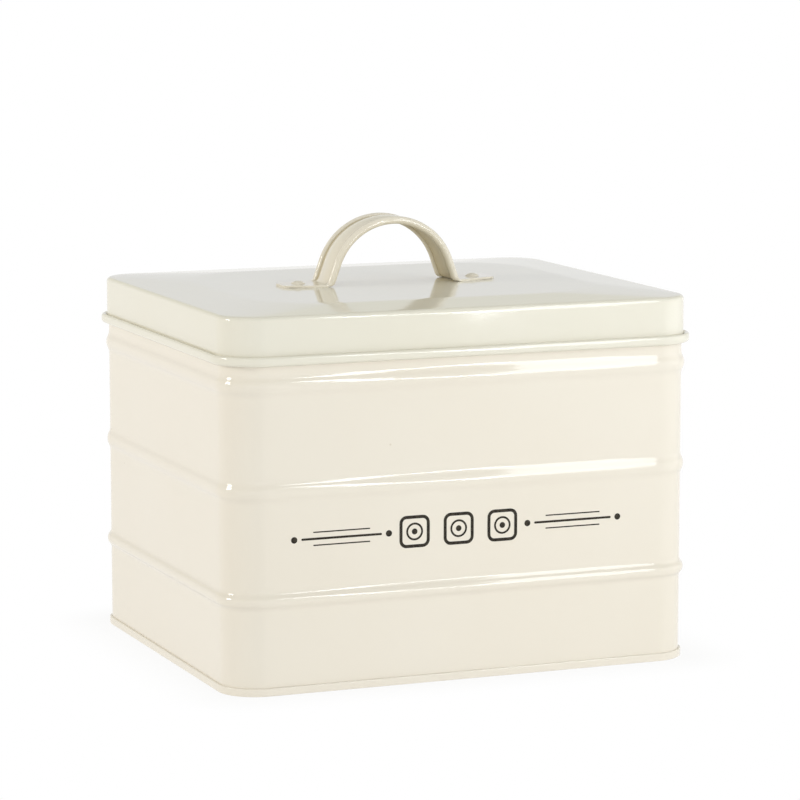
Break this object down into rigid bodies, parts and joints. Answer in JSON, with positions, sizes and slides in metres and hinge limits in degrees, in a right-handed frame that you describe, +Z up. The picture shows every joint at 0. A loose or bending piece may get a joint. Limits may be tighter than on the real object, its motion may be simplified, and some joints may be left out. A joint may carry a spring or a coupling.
{
  "type": "washing tablet canister",
  "caption": "Cream painted sheet-metal canister with rounded corners and swaged beads, a slip-on lid with a curled skirt, and a riveted arched strap handle.",
  "frame": {"origin": "under the middle of the foot, on the surface that the canister stands on", "axes": "+Z up, +X along the long wall to the right, the front faces -Y"},
  "size_m": [0.2062, 0.1742, 0.1796],
  "materials": {
    "box_paint": "glossy cream paint",
    "lid_paint": "glossy cream paint",
    "handle_paint": "glossy cream paint"
  },
  "bodies": {
    "box": {"body_wall": "box_paint", "base_panel": "box_paint"},
    "cover": {"lid": "lid_paint", "handle": "handle_paint", "handle_rivets": "handle_paint"}
  },
  "joints": [
    {"name": "lid_lift", "type": "slide", "parent": "box", "child": "cover", "axis": [0, 0, 1], "range_m": [0, 0.08]}
  ]
}
